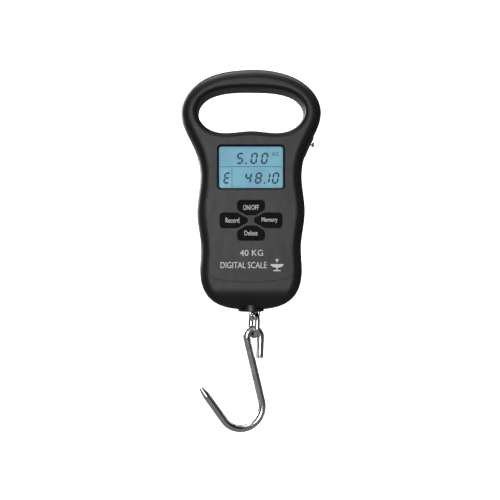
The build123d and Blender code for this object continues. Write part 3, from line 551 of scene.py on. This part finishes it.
def add_display(materials):
    """The reading and its unit, on the front of the display's glass."""
    glass_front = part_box("lcd_glass")[0].y
    drawn = film_piece("lcd_segments", lcd_content(), glass_front - FILM, FILM, on_front)
    finish_piece(drawn, "casing", materials["lcd_ink"])
    lettering("lcd_unit", "KG", (17.4 * MM, LCD_Z + 9.5 * MM), (4.6 * MM, 2.7 * MM), glass_front,
              "casing", materials["lcd_ink"], shear=0.15)


def icon_outlines(centre, radius):
    """Generic weighing mark: a pan on a stem over a base line."""
    x, z = centre
    pan = [(x + radius * math.cos(a), z + radius * 0.15 + radius * 0.55 * math.sin(a))
           for a in (math.pi + math.pi * i / 16 for i in range(17))]
    stem = bar(x - radius * 0.09, x + radius * 0.09, z - radius * 0.75, z - radius * 0.40)
    base = bar(x - radius * 0.55, x + radius * 0.55, z - radius * 0.92, z - radius * 0.75)
    pointer = [(x - radius * 0.28, z + radius * 0.92), (x + radius * 0.28, z + radius * 0.92),
               (x, z + radius * 0.36)]
    return [pan, stem, base, pointer]


def add_panel_print(materials):
    """Capacity, generic name and weighing mark on the front panel."""
    white = materials["white_ink"]
    lettering("print_capacity", "40 KG", (0.4 * MM, CAPACITY_Z), (16.4 * MM, 4.3 * MM), PANEL_Y,
              "casing", white)
    lettering("print_name", "DIGITAL SCALE", (-5.2 * MM, NAME_Z), (32.5 * MM, 4.4 * MM), PANEL_Y,
              "casing", white)
    mark = film_piece("print_mark", icon_outlines((MARK_X, NAME_Z), MARK_RADIUS), PANEL_Y - INK,
                      INK + INK_SUNK, on_front)
    finish_piece(mark, "casing", white)


def add_button_print(materials):
    """Function words on the four caps; each word rides with its own button."""
    for name, words, width, height, shift in BUTTON_WORDS:
        low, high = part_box("button_" + name)
        centre = ((low.x + high.x) / 2 + shift * MM, (low.z + high.z) / 2)
        lettering("label_" + name, words, centre, (width * MM, height * MM), CAP_Y, name + "_button",
                  materials["white_ink"])


def tick_reach(step):
    """How far a millimetre's tick reaches across the blade: more at each five and ten."""
    if step % 10 == 0:
        return 3.2 * MM
    if step % 5 == 0:
        return 2.2 * MM
    return 1.4 * MM


def add_tape_marks(materials):
    """Millimetre ticks on the blade."""
    low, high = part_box("tape_blade")
    ticks = []
    for step in range(1, TAPE_MARKED + 1):
        x = high.x - step * MM
        ticks.append(bar(x - TICK_WIDTH / 2, x + TICK_WIDTH / 2, low.y + TICK_MARGIN,
                         low.y + tick_reach(step)))
    marks = film_piece("tape_marks", ticks, high.z, TICK_FILM, on_tape)
    finish_piece(marks, "tape_end", materials["black_ink"])


# ----------------------------------------------------------------------- stage

def backdrop_profile():
    """The backdrop's (y, z) line: floor, curved sweep, wall."""
    profile = [(FLOOR_FRONT_Y, FLOOR_Z), (WALL_Y - SWEEP_R, FLOOR_Z)]
    for i in range(1, SWEEP_STEPS + 1):
        angle = math.pi / 2 * i / SWEEP_STEPS
        y = WALL_Y - SWEEP_R + SWEEP_R * math.sin(angle)
        profile.append((y, FLOOR_Z + SWEEP_R * (1 - math.cos(angle))))
    profile.append((WALL_Y, WALL_TOP_Z))
    return profile


def floor_paper():
    """Pale paper to the camera. It is dark in reflections, so that it hardly lights the object."""
    graph = Graph("floor_paper")
    tone = graph.mix(graph.noise(60 * MM), rgb(0.86, 0.86, 0.86), rgb(0.90, 0.90, 0.90))
    seen = graph.node("ShaderNodeLightPath").outputs["Is Camera Ray"]
    glow = graph.math("MULTIPLY", seen, 0.80)
    paper = graph.mix(seen, rgb(0.13, 0.13, 0.13), tone)
    shader = graph.node("ShaderNodeBsdfPrincipled", Base_Color=paper, Roughness=0.9,
                        Emission_Color=rgb(1.0, 1.0, 1.0), Emission_Strength=glow,
                        Normal=graph.bump(graph.noise(1.5 * MM), 0.05 * MM))
    return graph.finish(shader.outputs[0])


def make_backdrop():
    """Paper floor that sweeps up into a wall."""
    profile = backdrop_profile()
    verts = [(x, y, z) for x in (-FLOOR_HALF_WIDTH, FLOOR_HALF_WIDTH) for y, z in profile]
    count = len(profile)
    faces = [(i, i + 1, count + i + 1, count + i) for i in range(count - 1)]
    mesh = bpy.data.meshes.new("floor")
    mesh.from_pydata(verts, [], faces)
    for face in mesh.polygons:
        face.use_smooth = True
    floor = bpy.data.objects.new("floor", mesh)
    bpy.context.scene.collection.objects.link(floor)
    mesh.materials.append(floor_paper())


def add_light(name, place, aim, size, watts):
    """Rectangular soft light at place, turned to aim."""
    lamp = bpy.data.lights.new(name, "AREA")
    lamp.shape = "RECTANGLE"
    lamp.size, lamp.size_y = size
    lamp.energy = watts
    obj = bpy.data.objects.new(name, lamp)
    obj.location = place
    obj.rotation_euler = (Vector(aim) - Vector(place)).to_track_quat("-Z", "Y").to_euler()
    bpy.context.scene.collection.objects.link(obj)
    return obj


def make_lights():
    """Soft lights before, above and behind the object, and a wash on the wall."""
    middle = (0, 0, -90 * MM)
    add_light("front_softbox", place=(-0.1, -1.5, -0.12), aim=middle, size=(0.55, 0.85), watts=14.0)
    add_light("top_softbox", place=(-0.2, -0.3, 1.0), aim=middle, size=(0.7, 0.5), watts=3.6)
    behind = add_light("back_softbox", place=(-0.55, 0.5, 0.2), aim=middle, size=(0.6, 0.6), watts=10.0)
    behind.visible_camera = False
    add_light("wall_wash", place=(0, 0.2, 1.1), aim=(0, WALL_Y, -0.1), size=(1.6, 0.3), watts=14.0)


def side_cards(tree):
    """Colour by direction, from far left at 0 to far right at 1: pale, with a dark card at either side."""
    direction = tree.nodes.new("ShaderNodeTexCoord").outputs["Generated"]
    across = tree.nodes.new("ShaderNodeSeparateXYZ")
    tree.links.new(direction, across.inputs[0])
    span = tree.nodes.new("ShaderNodeMapRange")
    span.inputs["From Min"].default_value = -1.0
    tree.links.new(across.outputs["X"], span.inputs["Value"])
    cards = tree.nodes.new("ShaderNodeValToRGB")
    tree.links.new(span.outputs[0], cards.inputs[0])
    stops = cards.color_ramp.elements
    stops[0].position, stops[0].color = 0.0, rgb(0.30, 0.30, 0.31)
    stops[1].position, stops[1].color = 1.0, rgb(0.14, 0.14, 0.15)
    dark, pale = 0.03, 0.48
    bands = ((0.10, dark), (0.22, dark), (0.30, pale), (0.62, pale), (0.70, dark), (0.86, dark))
    for position, tone in bands:
        stops.new(position).color = rgb(tone, tone, tone)
    return cards.outputs[0]


def make_world():
    """Surroundings that light the object with side_cards. The camera itself sees plain white."""
    world = bpy.data.worlds.new("studio")
    world.use_nodes = True
    tree = world.node_tree
    sky = tree.nodes.new("ShaderNodeMix")
    sky.data_type = "RGBA"
    seen = tree.nodes.new("ShaderNodeLightPath").outputs["Is Camera Ray"]
    tree.links.new(seen, sky.inputs["Factor"])
    tree.links.new(side_cards(tree), sky.inputs[MIX_FIRST])
    strength = 0.8
    white = 1.08 / strength
    sky.inputs[MIX_SECOND].default_value = rgb(white, white, white)
    background = tree.nodes["Background"]
    tree.links.new(sky.outputs[MIX_OUT], background.inputs["Color"])
    background.inputs["Strength"].default_value = strength
    bpy.context.scene.world = world


def make_camera():
    lens = bpy.data.cameras.new("camera")
    lens.sensor_width = SENSOR
    lens.lens = LENS
    camera = bpy.data.objects.new("camera", lens)
    camera.location = CAMERA_AT
    camera.rotation_euler = (math.radians(90), 0, 0)
    bpy.context.scene.collection.objects.link(camera)
    bpy.context.scene.camera = camera


materials = make_materials()
paint_cad_nodes(frame, materials)
add_display(materials)
add_panel_print(materials)
add_button_print(materials)
add_tape_marks(materials)
make_backdrop()
make_lights()
make_world()
make_camera()
bpy.context.scene.view_settings.view_transform = "Standard"
